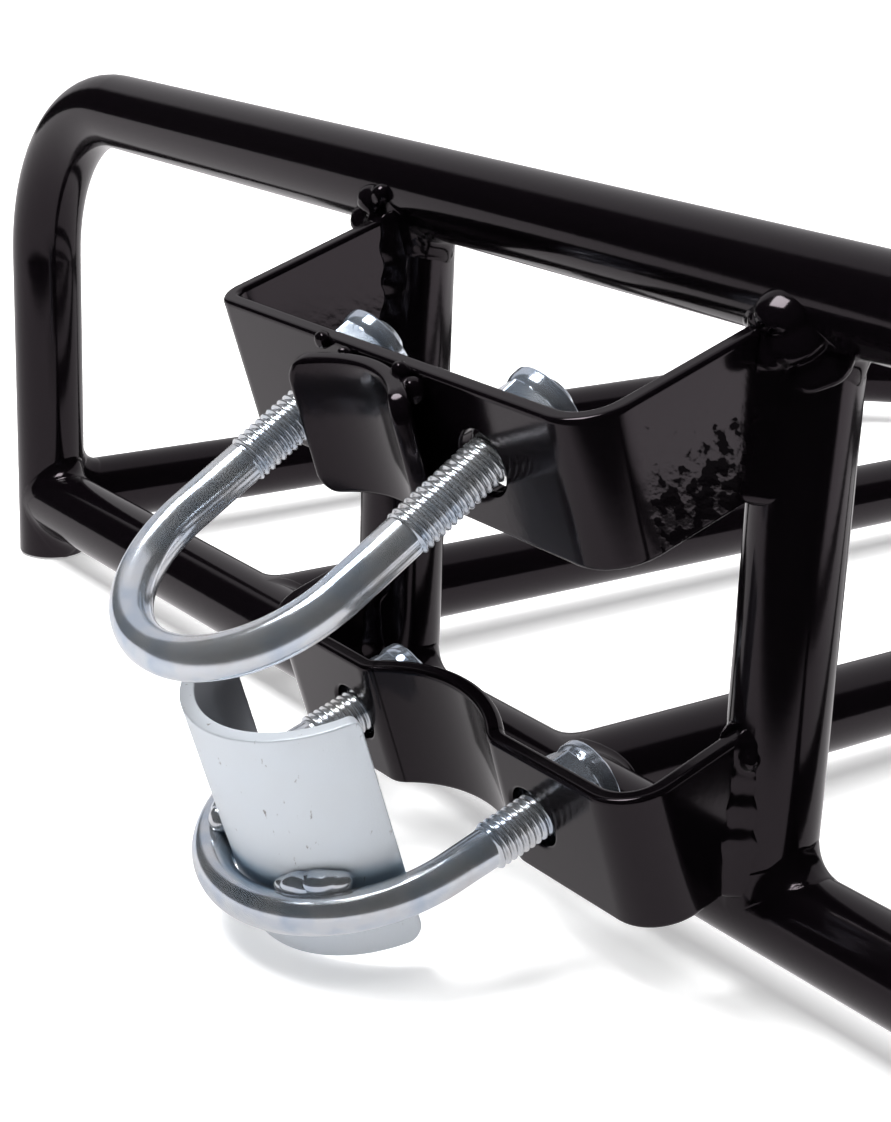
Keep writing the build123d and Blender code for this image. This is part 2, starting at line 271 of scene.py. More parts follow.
def blackPowderCoat(face, acrossWay, alongWay):
    material, tree, shader = newMaterial("black powder coat")
    where = addNode(tree, "TexCoord").outputs["Object"]
    slanted = addNode(tree, "Mapping", {"Vector": where, "Rotation": (coat["slant"], 0.0, 0.0),
                                        "Scale": (1.0, coat["stretch"], 1.0)}, vector_type="TEXTURE")
    peel = noise(tree, where, 1 / coat["peelSize"], 2.0)
    pebble = noise(tree, slanted.outputs[0], 1 / coat["pebbleSize"], 2.0)
    haze = noise(tree, where, coat["hazeScale"], 3.0)
    fromFace = addNode(tree, "VectorMath", {0: where, 1: tuple(face)}, operation="SUBTRACT").outputs[0]
    outward = maths(tree, "ABSOLUTE", addNode(tree, "SeparateXYZ", {"Vector": fromFace}).outputs["X"])
    back, up = (distanceAlong(tree, fromFace, way) for way in (acrossWay, alongWay))
    mask = remap(tree, outward, coat["armInside"])
    for value, key in ((outward, "armOutside"), (back, "behindFace"), (up, "downStrip"), (up, "lowEdge")):
        mask = maths(tree, "MULTIPLY", mask, remap(tree, value, coat[key]))
    pitted = maths(tree, "MULTIPLY_ADD", mask, coat["pitted"], pebble)
    wavy = bump(tree, peel, coat["peelDepth"])
    setInputs(tree, shader, {
        "Base Color": linear(coat["colour"]), "IOR": coat["ior"], "Specular Tint": linear(coat["shine"]),
        # in the pits the specular level drops: a painted dark reflection of the room
        "Specular IOR Level": remap(tree, pitted, coat["pitEdge"], (coat["sheen"], coat["pitPaintedSheen"])),
        "Roughness": remap(tree, haze, (0.0, 1.0), coat["roughness"]),
        "Normal": bump(tree, pebble, coat["pebbleDepth"], Strength=mask, Normal=wavy)})
    return material


# Bright zinc: electroplated with a clear blue passivation over cold-drawn rod, so it mirrors brightly,
# with drawing streaks along the rod, a fine grain, and faint blue and straw tints. Its fine crystals
# scatter some of the light.
zinc = dict(tints=((0.36, "#C2CEDD"), (0.52, "#D9DEE4"), (0.72, "#D2D2D2")), cloudScale=90.0,
            roughEdge=(0.27, 0.48), roughness=(0.15, 0.25), scatter=0.13, speckle=0.2,
            streakWidth=0.6 * mm, streakStretch=0.04, streakDepth=0.004 * mm,
            grainSize=0.7 * mm, grainDepth=0.004 * mm)


def brightZinc():
    material, tree, shader = newMaterial("bright zinc plate")
    rod = addNode(tree, "Attribute", attribute_name="platePlace").outputs["Vector"]
    along = addNode(tree, "Mapping", {"Vector": rod, "Scale": (zinc["streakStretch"], 1.0, 1.0)})
    streak = noise(tree, along.outputs[0], 1 / zinc["streakWidth"], 3.0, 0.6)
    grain = noise(tree, rod, 1 / zinc["grainSize"], 0.0)
    cloud = noise(tree, rod, zinc["cloudScale"], 3.0, 0.6)
    speckled = maths(tree, "MULTIPLY_ADD", grain, zinc["speckle"], maths(tree, "MULTIPLY", cloud, streak))
    drawn = bump(tree, streak, zinc["streakDepth"])
    setInputs(tree, shader, {
        "Base Color": colourRamp(tree, cloud, zinc["tints"]), "Metallic": 1 - zinc["scatter"],
        "Roughness": remap(tree, speckled, zinc["roughEdge"], zinc["roughness"]),
        "Normal": bump(tree, grain, zinc["grainDepth"], Normal=drawn)})
    return material


# Zinc on turned nuts and washers: the same plate on smoother steel, bluer and glossier.
nutZinc = dict(tints=((0.35, "#B2C0D2"), (0.65, "#D2DAE4")), cloudScale=160.0,
               roughness=(0.078, 0.208), scatter=0.16, grainSize=0.8 * mm, grainDepth=0.006 * mm)


def blueZinc():
    material, tree, shader = newMaterial("blue zinc plate")
    where = addNode(tree, "TexCoord").outputs["Object"]
    cloud = noise(tree, where, nutZinc["cloudScale"], 3.0)
    grain = noise(tree, where, 1 / nutZinc["grainSize"], 2.0)
    setInputs(tree, shader, {
        "Base Color": colourRamp(tree, cloud, nutZinc["tints"]), "Metallic": 1 - nutZinc["scatter"],
        "Roughness": remap(tree, cloud, (0.0, 1.0), nutZinc["roughness"]),
        "Normal": bump(tree, grain, nutZinc["grainDepth"])})
    return material


# Satin zinc: plate on the rolled, unpolished wall of a tube, pale and softly blurred outside, with rub
# marks, and a blue heat tint in a ragged band beside the weld. Inside it scatters almost no light, so it
# looks darker: painted shade in the hollow.
shellZinc = dict(pale="#CBD3DC", straw="#C9CDD1", tint="#6F93AC", mark="#6A6460", cloudScale=70.0,
                 roughness=(0.323, 0.437), scatter=0.64, shadedInsideScatter=0.03,
                 tintEdge=(4.5 * mm, 7.5 * mm), tintRagged=3.4 * mm, tintStrength=0.62,
                 markSize=1.4 * mm, markStretch=0.35, markLean=0.3, markEdge=(0.66, 0.72),
                 markStrength=0.8, grainSize=0.35 * mm, grainDepth=0.02 * mm)


def satinZinc(weldPoint, shellUp):
    material, tree, shader = newMaterial("satin zinc plate")
    where = addNode(tree, "TexCoord").outputs["Object"]
    squeezed = addNode(tree, "Mapping", {"Vector": where, "Scale": (1.0, 1.0, shellZinc["markStretch"]),
                                         "Rotation": (0.0, shellZinc["markLean"], 0.0)})
    cloud = noise(tree, where, shellZinc["cloudScale"], 3.0)
    grain = noise(tree, where, 1 / shellZinc["grainSize"], 2.0)
    marks = noise(tree, squeezed.outputs[0], 1 / shellZinc["markSize"], 4.0, 0.65)
    level = float(np.dot(weldPoint, shellUp))
    above = maths(tree, "SUBTRACT", distanceAlong(tree, where, shellUp), level)
    ragged = maths(tree, "MULTIPLY_ADD", cloud, shellZinc["tintRagged"], maths(tree, "ABSOLUTE", above))
    heat = remap(tree, ragged, shellZinc["tintEdge"], (shellZinc["tintStrength"], 0.0),
                 interpolation_type="SMOOTHSTEP")
    rare = remap(tree, marks, shellZinc["markEdge"], (0.0, shellZinc["markStrength"]))
    colour = blend(tree, cloud, linear(shellZinc["pale"]), linear(shellZinc["straw"]))
    colour = blend(tree, heat, colour, linear(shellZinc["tint"]))
    colour = blend(tree, rare, colour, linear(shellZinc["mark"]))
    side = addNode(tree, "Attribute", attribute_name="platePlace").outputs["Vector"]
    outside = addNode(tree, "SeparateXYZ", {"Vector": side}).outputs["X"]
    # the inside scatters almost no light, so it looks darker: painted shade in the hollow
    metal = (1 - shellZinc["shadedInsideScatter"], 1 - shellZinc["scatter"])
    setInputs(tree, shader, {
        "Base Color": colour, "Metallic": remap(tree, outside, (0.0, 1.0), metal),
        "Roughness": remap(tree, cloud, (0.0, 1.0), shellZinc["roughness"]),
        "Normal": bump(tree, grain, shellZinc["grainDepth"])})
    return material


# The carrier's own lines, taken from its parts. Y runs away from the cycle, and the brackets lean
# with the head tube: across is square to their strip, and along runs up it.
railBox, loopBox, platformBox, postBox = (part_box(node) for node in (
    "bottom_rail", "fence_loop", "platform_loop", "post_right"))
tubeR = (railBox[1].z - railBox[0].z) / 2
fenceY = (loopBox[0].y + loopBox[1].y) / 2
railZ = (railBox[0].z + railBox[1].z) / 2
topZ = loopBox[1].z - tubeR
footZ = loopBox[0].z
frontY = platformBox[1].y - tubeR
uprightX = loopBox[1].x - tubeR
postX = (postBox[0].x + postBox[1].x) / 2
slatX = (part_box("slat_right")[0].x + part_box("slat_right")[1].x) / 2
acrossUpper = np.array(joints["lower_u_bolt_slide"]["axis"], float)
alongUpper = np.array([0, -acrossUpper[2], acrossUpper[1]])
legWay = np.array(joints["upper_u_bolt_slide"]["axis"], float)
upperPivot = np.array(joints["upper_clamp_tilt"]["pos_m"], float)
lowerPivot = np.array(joints["lower_nut_left_turn"]["pos_m"], float) * (0, 1, 1)

# Each strip's face towards the cycle lies half its thickness from its bolt's pivot
stripThick = 3 * mm
upperFace, lowerFace = (pivot - acrossUpper * stripThick / 2 for pivot in (upperPivot, lowerPivot))
blackCoat = blackPowderCoat(upperFace, acrossUpper, alongUpper)
rodZinc, plateZinc = brightZinc(), blueZinc()


# Tubes: a circle carried along straight lines and tangent arcs. An open end turns in over its wall
# and runs back inside as a bore.
tube = dict(wall=1.2 * mm, bend=38 * mm, boreDepth=30 * mm, sides=72, lip=0.35 * mm)


def tubePiece(node, corners, openEnds=False):
    corners = np.array(corners, float)
    first = unit(corners[1] - corners[0])
    if len(corners) > 2:
        normal = unit(np.cross(corners[1] - corners[0], corners[2] - corners[0]))
    else:
        normal = np.array((0, 0, 1.0) if abs(first[0]) > 0.5 else (1.0, 0, 0))
    second = np.cross(normal, first)
    flat = (corners - corners[0]) @ np.array([first, second]).T
    path, ahead = filletPath(flat, [tube["bend"]] * (len(corners) - 2))
    points = corners[0] + path @ np.array([first, second])
    ahead = ahead @ np.array([first, second])
    radii = np.full(len(points), tubeR)
    if openEnds:
        quarter = np.linspace(0, np.pi / 2, 5)
        lip, inner = tube["lip"], tubeR - tube["wall"]
        steps = np.concatenate([[tube["boreDepth"], lip], lip * (1 - np.sin(quarter)),
                                lip * (1 - np.cos(quarter))])
        rims = np.concatenate([[inner, inner], inner + lip * (1 - np.cos(quarter)),
                               tubeR - lip * (1 - np.sin(quarter))])
        points = np.concatenate([points[0] + steps[:, None] * ahead[0], points[1:-1],
                                 points[-1] - steps[::-1, None] * ahead[-1]])
        ahead = np.concatenate([np.repeat(ahead[:1], len(steps), 0), ahead[1:-1],
                                np.repeat(ahead[-1:], len(steps), 0)])
        radii = np.concatenate([rims, np.full(len(points) - 2 * len(rims), tubeR), rims[::-1]])
    section = circle(1, tube["sides"]) * radii[:, None, None]
    rings = sweep(points, ahead, normal, section)
    piece = makePiece(node + "_coated", [(rings, False, True)], blackCoat)
    stands(piece, node)


tubePiece("fence_loop", [(-uprightX, fenceY, footZ), (-uprightX, fenceY, topZ),
                         (uprightX, fenceY, topZ), (uprightX, fenceY, footZ)], openEnds=True)
tubePiece("bottom_rail", [(-uprightX, fenceY, railZ), (uprightX, fenceY, railZ)])
tubePiece("platform_loop", [(-uprightX, fenceY, railZ), (-uprightX, frontY, railZ),
                            (uprightX, frontY, railZ), (uprightX, fenceY, railZ)])
for side, word in ((-1, "left"), (1, "right")):
    tubePiece("post_" + word, [(side * postX, fenceY, railZ), (side * postX, fenceY, topZ)])
    tubePiece("slat_" + word, [(side * slatX, fenceY, railZ), (side * slatX, frontY, railZ)])
tubePiece("slat_middle", [(0, fenceY, railZ), (0, frontY, railZ)])
print("tubes carried along their axes")


# Weld beads: a fillet between two walls, closed below its skin. Its skin is a quadratic curve from one
# wall to the other, pulled towards the corner, and its size wavers along the joint. A tube's bead is
# hollow, and creeps little over the side where both tubes are flush. A post's beads are larger. An arm's
# bead is fuller and smaller, runs past the strip's edges, and tapers at its ends; a face less than
# outFrom inside the post's axis looks outward.
bead = dict(leg=3.9 * mm, toe=4.1 * mm, hollow=0.78, creep=0.35, sink=0.3 * mm, ripple=0.03, lump=0.30,
            around=180, section=15, postFoot=(1.1, 1.0), postTop=(1.6, 1.0))
armWeld = dict(leg=2.9 * mm, toe=3.1 * mm, pull=0.45, past=1.2 * mm, taper=7, outFrom=2 * mm,
               rows=90, waves=5, voxel=0.3 * mm, smoothing=28, smoothBy=0.5)
dents = dict(around=0.07, along=0.05)


def waver(angle, seed, count=7):
    # a smooth irregular wave round a joint, about one unit high: a sum of sines of whole turns, each of a
    # random phase and of a random height that falls with the square root of its number
    random = np.random.default_rng(seed)
    waves = np.arange(1, count + 1)
    lowest, usualSum = 0.3, 1.6
    phases = random.uniform(0, 2 * np.pi, count)
    heights = random.uniform(lowest, 1, count) / np.sqrt(waves)
    return (heights * np.sin(np.multiply.outer(angle, waves) + phases)).sum(-1) / usualSum


def filletSkin(first, second, corner, firstOut, secondOut, pull):
    # loops of points: the skin from the first wall to the second, then one point under the corner
    t = np.linspace(0, 1, bead["section"])[:, None, None]
    middle = (first + second) / 2 * (1 - pull) + corner * pull
    skin = first * (1 - t) ** 2 + 2 * middle * t * (1 - t) + second * t ** 2
    skin[0] -= firstOut * bead["sink"]
    skin[-1] -= secondOut * bead["sink"]
    under = corner - (firstOut + secondOut) * bead["sink"] * 2
    return np.concatenate([skin, under[None]]).transpose(1, 0, 2)


def teeBead(joint, branch, run, seed, grow=(1.0, 1.0)):
    # round a branch tube's end on a run tube of the same radius; grow scales its leg and its toe
    joint, branch, run = (np.array(v, float) for v in (joint, branch, run))
    basis = np.array([run, np.cross(run, branch), branch])
    angle = np.arange(bead["around"]) * 2 * np.pi / bead["around"]
    c, s = np.cos(angle), np.sin(angle)
    size = 1 + bead["lump"] * waver(angle, seed) + bead["ripple"] * waver(angle, seed + 1, 24)
    leg, toe = bead["leg"] * grow[0] * size, bead["toe"] * grow[1] * size
    psi = np.arcsin(s) + toe * s / tubeR * (1 - (1 - bead["creep"]) * s ** 2)
    branchOut = np.stack([c, s, 0 * c], -1)
    runOut = np.stack([0 * c, np.sin(psi), np.cos(psi)], -1)
    branchFoot = np.stack([tubeR * c, tubeR * s, tubeR * np.abs(c) + leg], -1)
    runFoot = np.stack([(tubeR + toe * np.abs(c)) * c, tubeR * np.sin(psi), tubeR * np.cos(psi)], -1)
    corner = np.stack([tubeR * c, tubeR * s, tubeR * np.abs(c)], -1)
    skin = filletSkin(branchFoot, runFoot, corner, branchOut, runOut, bead["hollow"])
    return joint + skin @ basis, True, True


def armBead(side, face, low, high, seed):
    # up the post, where the arm's face meets it: the face is at x = face, and looks outward or inward
    out = 1 if abs(face) > abs(postX) - armWeld["outFrom"] else -1
    z = np.linspace(low - armWeld["past"], high + armWeld["past"], armWeld["rows"])
    t = (z - z[0]) / (z[-1] - z[0])
    nearEnd = np.clip(np.abs(2 * t - 1) * armWeld["taper"] - armWeld["taper"] + 1, 0, 1)
    ends = np.sqrt(np.clip(1 - nearEnd ** 2, 0.01, 1))
    size = (1 + bead["lump"] * waver(t * armWeld["waves"], seed)) * ends
    leg, toe = armWeld["leg"] * size, armWeld["toe"] * size
    inward = np.abs(face) - postX
    wallX = inward + out * toe
    wallY = fenceY - np.sqrt(tubeR ** 2 - inward ** 2)
    armFoot = np.stack([np.full(len(z), face), wallY - leg, z], -1)
    postFoot = np.stack([side * (postX + wallX), fenceY - np.sqrt(tubeR ** 2 - wallX ** 2), z], -1)
    corner = np.stack([np.full(len(z), face), np.full(len(z), wallY), z], -1)
    armOut = np.broadcast_to(np.array([side * out, 0, 0.0]), corner.shape)
    postOut = unit(np.stack([side * wallX, -np.sqrt(tubeR ** 2 - wallX ** 2), 0 * z], -1))
    return filletSkin(armFoot, postFoot, corner, armOut, postOut, armWeld["pull"]), False, True


def blob(radii, seed, rings=28, sides=36):
    # a lump of weld, half its sizes in mm: a ball, stretched, and dented by slow waves
    nearPole = 0.03
    polar = np.linspace(nearPole, np.pi - nearPole, rings)[:, None]
    turn = np.arange(sides) * 2 * np.pi / sides
    dent = (1 + dents["around"] * waver(turn, seed)[None] * np.sin(polar)
            + dents["along"] * waver(polar[:, 0], seed + 5)[:, None])
    way = np.stack([np.sin(polar) * np.cos(turn), np.sin(polar) * np.sin(turn),
                    np.cos(polar) + 0 * turn], -1)
    return way * dent[..., None] * (np.array(radii) * mm)


def fuse(piece):
    # overlapping beads and lumps melted into one closed skin
    melt = piece.modifiers.new("melt", "REMESH")
    melt.mode, melt.voxel_size, melt.use_smooth_shade = "VOXEL", armWeld["voxel"], True
    ease = piece.modifiers.new("ease", "SMOOTH")
    ease.factor, ease.iterations = armWeld["smoothBy"], armWeld["smoothing"]
    bakeModifiers(piece)


beads = []
for side in (-1, 1):
    beads.append(teeBead((side * uprightX, fenceY, railZ), (-side, 0, 0), (0, 0, 1), 11 + side))
    beads.append(teeBead((side * uprightX, fenceY, railZ), (0, 1, 0), (0, 0, 1), 21 + side))
    for z, way, seed, grow in ((railZ, 1, 31, bead["postFoot"]), (topZ, -1, 41, bead["postTop"])):
        beads.append(teeBead((side * postX, fenceY, z), (0, 0, way), (1, 0, 0), seed + side, grow))
for number, x in enumerate((-slatX, 0, slatX)):
    beads.append(teeBead((x, fenceY, railZ), (0, 1, 0), (1, 0, 0), 51 + number))
    beads.append(teeBead((x, frontY, railZ), (0, -1, 0), (1, 0, 0), 61 + number))
frameWelds = makePiece("frame_welds_coated", beads, blackCoat, sharpAngle=60)
stands(frameWelds, "frame_welds")


# Clamp brackets: a strip on edge, bent, with its edges rounded by the coat. A rounded rectangle is
# carried along the strip's middle line. The bolt holes are cut with a cylinder whose ends flare.
strip = dict(thick=stripThick, wide=25 * mm, edge=0.8 * mm, intoPost=1.0 * mm,
             holeR=5.25 * mm, rim=0.7 * mm, holeSides=96, cutPast=0.5 * mm)
upperStrip = dict(half=50 * mm, bends=(2 * mm, 6 * mm), boltHalf=22.5 * mm)
lowerStrip = dict(half=52 * mm, bend=6 * mm, boltHalf=25.5 * mm, dipHalf=17.6 * mm, dipDepth=6.2 * mm,
                  dipSlope=np.radians(35), shoulder=3 * mm)


def roundedRectangle(wide, high, radius, steps=7, support=0.15 * mm):
    angle = np.linspace(0, np.pi / 2, steps)
    corners = []
    for quarter, (x, y) in enumerate(((1, 1), (-1, 1), (-1, -1), (1, -1))):
        turn = angle + quarter * np.pi / 2
        arc = np.stack([x * (wide / 2 - radius) + radius * np.cos(turn),
                        y * (high / 2 - radius) + radius * np.sin(turn)], -1)
        before = np.array([np.sin(turn[0]), -np.cos(turn[0])]) * support
        after = np.array([-np.sin(turn[-1]), np.cos(turn[-1])]) * support
        corners += [arc[:1] + before, arc, arc[-1:] + after]
    return np.concatenate(corners)


def parallel(corners, gap):
    # the same broken line, moved to its left by the gap
    corners = np.array(corners, float)
    way = unit(np.diff(corners, axis=0))
    left = np.stack([-way[:, 1], way[:, 0]], -1)
    inner = (left[:-1] + left[1:]) * (gap / (1 + (left[:-1] * left[1:]).sum(-1)))[:, None]
    return corners + np.concatenate([left[:1] * gap, inner, left[-1:] * gap])


def bracketPiece(node, origin, corners, insideRadii, boltHalf):
    half = strip["thick"] / 2
    path, ahead = filletPath(parallel(corners, half), np.array(insideRadii) + half, 3.0)
    flat, ahead = (np.pad(rows, ((0, 0), (0, 1))) for rows in (path, ahead))
    section = roundedRectangle(strip["thick"], strip["wide"], strip["edge"])
    rings = place(sweep(flat, ahead, np.array([0, 0, 1.0]), section), origin, acrossUpper, alongUpper)
    piece = makePiece(node + "_coated", [(rings, False, True)], blackCoat)
    rim = np.linspace(0, np.pi / 2, 6)
    depth = half - strip["rim"] * (1 - np.sin(rim[::-1]))
    flare = strip["holeR"] + strip["rim"] * (1 - np.cos(rim[::-1]))
    beyond = half + strip["cutPast"]
    outY = np.concatenate([[beyond], depth, -depth[::-1], [-beyond]])
    outR = np.concatenate([[flare[0]], flare, flare[::-1], [flare[0]]])
    ring = circle(1, strip["holeSides"])
    for side in (-1, 1):
        hole = np.stack([side * boltHalf + outR[:, None] * ring[:, 0],
                         np.repeat(outY[:, None] + half, len(ring), 1), outR[:, None] * ring[:, 1]], -1)
        hole = place(hole, origin, acrossUpper, alongUpper)
        cutter = makePiece("cutter", [(hole, False, True)], blackCoat)
        cut = piece.modifiers.new("bolt hole", "BOOLEAN")
        cut.operation, cut.object, cut.solver = "DIFFERENCE", cutter, "EXACT"
        bakeModifiers(piece)
        bpy.data.objects.remove(cutter)
    piece.data.shade_smooth()
    piece.data.set_sharp_from_angle(angle=np.radians(35))
    even = piece.modifiers.new("flat faces", "WEIGHTED_NORMAL")
    even.keep_sharp = True
    even.weight = 100
    stands(piece, node)


half, reach = upperStrip["half"], (fenceY - strip["intoPost"] - upperFace[1]) / acrossUpper[1]
bracketPiece("upper_bracket", upperFace, [(-half, reach), (-half, 0), (half, 0), (half, reach)],
             upperStrip["bends"], upperStrip["boltHalf"])
half, reach = lowerStrip["half"], (fenceY - strip["intoPost"] - lowerFace[1]) / acrossUpper[1]
vee = lowerStrip["dipHalf"] * np.tan(lowerStrip["dipSlope"])
floorR = (vee - lowerStrip["dipDepth"]) / (1 / np.cos(lowerStrip["dipSlope"]) - 1)
dip, bend, shoulder = lowerStrip["dipHalf"], lowerStrip["bend"], lowerStrip["shoulder"]
bracketPiece("lower_bracket", lowerFace,
             [(-half, reach), (-half, 0), (-dip, 0), (0, vee), (dip, 0), (half, 0), (half, reach)],
             [bend, shoulder, floorR, shoulder, bend], lowerStrip["boltHalf"])

# The arms' beads run down both faces of each arm's end. Lumps of weld at their ends lie flat in the
# corner between the rail and the post, and melt into the beads. Lumps: place from the middle of the
# bottom rail, and half sizes sideways, up the slope and out of it, in mm.
armLumps = (((52.0, -8.2, 96.2), (4.2, 3.6, 1.9)), ((48.8, -7.9, 94.2), (2.8, 3.2, 2.0)),
            ((54.6, -7.2, 92.6), (4.4, 4.8, 2.3)), ((51.8, -8.0, 90.6), (3.6, 4.4, 1.7)),
            ((57.2, -4.6, 89.0), (4.6, 5.4, 2.3)),
            ((-51.8, -8.2, 96.4), (3.4, 3.0, 2.0)), ((-49.0, -8.2, 97.6), (2.0, 2.2, 1.6)),
            ((-54.4, -7.0, 92.6), (3.6, 4.0, 2.2)), ((-50.4, -8.0, 92.4), (2.8, 3.6, 1.7)),
            ((49.8, -9.0, 27.2), (2.3, 2.1, 1.8)), ((53.6, -8.2, 26.4), (1.6, 1.4, 1.3)),
            ((-50.0, -8.8, 26.6), (2.3, 2.1, 1.8)))
lumpSlope, lumpOut = (0, 0.72, 0.69), (0.24, -0.67, 0.70)
armBeads = []
for number, (face, half) in enumerate(((upperFace, upperStrip["half"]), (lowerFace, lowerStrip["half"]))):
    middleZ = face[2] + (fenceY - tubeR - face[1]) * alongUpper[1] / -alongUpper[2]
    halfHeight = strip["wide"] / 2 / alongUpper[2]
    for side in (-1, 1):
        for step, x in enumerate((half, half - strip["thick"])):
            armBeads.append(armBead(side, side * x, middleZ - halfHeight, middleZ + halfHeight,
                                    71 + 10 * number + 4 * side + step))
for centre, radii in armLumps:
    spot = np.array(centre) * mm + (0, fenceY, railZ)
    armBeads.append((place(blob(radii, len(armBeads)), spot, lumpSlope, lumpOut), False, True))
bracketWelds = makePiece("bracket_welds_coated", armBeads, blackCoat, sharpAngle=70)
fuse(bracketWelds)
stands(bracketWelds, "bracket_welds")
print("tubes, beads and brackets coated")


# Saddle and shell: slices of tube. At each height the section is an arc with rounded ends, which
# gets shorter towards the plate's rounded corners and thinner at its rims.
saddle = dict(outerR=24 * mm, wall=3 * mm, halfAngle=np.radians(43), low=-12.3 * mm, high=12.3 * mm,
              corner=(4 * mm, 4 * mm), rim=0.9 * mm)
shell = dict(outerR=21.8 * mm, wall=2.5 * mm, halfAngle=np.radians(76), low=-11.8 * mm, high=30.8 * mm,
             corner=(3 * mm, 1.5 * mm), rim=0.3 * mm)


def slicePlate(values, arcSteps=72):
    # rows of closed loops about the slice's axis; its middle faces +Y, and its hollow side -Y
    rim, middleR = values["rim"], values["outerR"] - values["wall"] / 2
    turn = np.linspace(0, np.pi / 2, 10)
    support = 0.3 * mm
    lowIn, highIn = (np.unique(np.concatenate([rim * (1 - np.cos(turn)), corner * (1 - np.cos(turn)),
                                               [corner + support]])) for corner in values["corner"])
    height = np.concatenate([values["low"] + lowIn, values["high"] - highIn[::-1]])
    near = np.concatenate([lowIn, highIn[::-1]])
    corner = np.repeat(values["corner"], (len(lowIn), len(highIn)))
    thin = rim - np.sqrt(np.maximum(rim ** 2 - np.maximum(rim - near, 0) ** 2, 0))
    short = corner - np.sqrt(np.maximum(corner ** 2 - np.maximum(corner - near, 0) ** 2, 0))
    halfWall = values["wall"] / 2 - thin
    halfArc = values["halfAngle"] - short / middleR
    across = np.linspace(-1, 1, arcSteps)
    ends = np.linspace(0, np.pi / 2, 6)
    rows = []
    for z, wall, arc in zip(height, halfWall, halfArc):
        r = min(rim, wall)
        flatArc = arc - r / middleR
        rightOut = np.stack([flatArc + r / middleR * np.sin(ends), wall - r + r * np.cos(ends)], -1)
        leftOut = rightOut[::-1] * (-1, 1)
        middle = np.stack([across * flatArc, np.full(arcSteps, wall)], -1)[1:-1]
        top = np.concatenate([leftOut, middle, rightOut])
        loop = np.concatenate([top, top[::-1] * (1, -1)])
        radius = middleR + loop[:, 1]
        rows.append(np.stack([radius * np.sin(loop[:, 0]), radius * np.cos(loop[:, 0]),
                              np.full(len(loop), z)], -1))
    return np.array(rows)


saddleAxis = upperFace - acrossUpper * saddle["outerR"]
saddleRings = place(slicePlate(saddle), saddleAxis, acrossUpper, alongUpper)
upperSaddle = makePiece("upper_saddle_coated", [(saddleRings, False, True)], blackCoat, sharpAngle=60)
stands(upperSaddle, "upper_saddle")

# Tacks between the saddle and the strip. Each tack: place on the strip's face, and half sizes, across
# the strip's length, out and up, in mm.
tackLumps = (((7.4, -0.8, 11.6), (1.9, 1.7, 2.0)), ((10.6, -1.6, 9.8), (2.3, 2.0, 2.3)),
             ((-14.9, -0.3, 12.2), (1.7, 1.3, 1.5)), ((-8.0, -0.9, 9.5), (2.0, 1.8, 3.2)),
             ((8.2, -0.9, -9.0), (1.9, 1.7, 2.6)), ((-8.2, -0.9, -9.0), (1.9, 1.7, 2.6)))
tacks = []
for centre, radii in tackLumps:
    points = np.array(centre) * mm + blob(radii, len(tacks) + 30)
    tacks.append((place(points, upperFace, acrossUpper, alongUpper), False, True))
saddleWelds = makePiece("saddle_welds_coated", tacks, blackCoat, sharpAngle=70)
stands(saddleWelds, "saddle_welds")


# U-bolts: a rod carried along two legs and a half circle, with rolled threads. In the thread the
# radius follows a vee wave along a right-hand helix, and fades at its start and tip.
uBolt = dict(threadR=4.0 * mm, rootR=3.42 * mm, pitch=1.25 * mm, runout=0.35, chamfer=1 * mm,
             steep=0.62, eased=0.5, perPitch=12, sides=64, standOut=2 * mm, flattened=0.06,
             bowR=3.575 * mm)
upperBolt = dict(legHalf=22.5 * mm, leg=29.4 * mm, thread=16.6 * mm, seat=3.216 * mm, rodR=3.575 * mm)
lowerBolt = dict(legHalf=25.5 * mm, leg=16.6 * mm, thread=9.4 * mm, seat=1.5 * mm, rodR=3.4 * mm)
washer = dict(outerR=6 * mm, innerR=4.2 * mm, thick=1 * mm, edge=0.25 * mm, sides=96)
nut = dict(flats=13 * mm, hexHeight=6 * mm, height=9 * mm, collarR=7 * mm, boreR=4.05 * mm,
           bearingR=6 * mm, shoulderR=6.9 * mm, waistR=6.35 * mm, waistFrom=5.0 * mm, rimFrom=7.6 * mm,
           rim=0.3 * mm, lead=0.5 * mm, cone=np.radians(30), crisp=90, perSide=20)


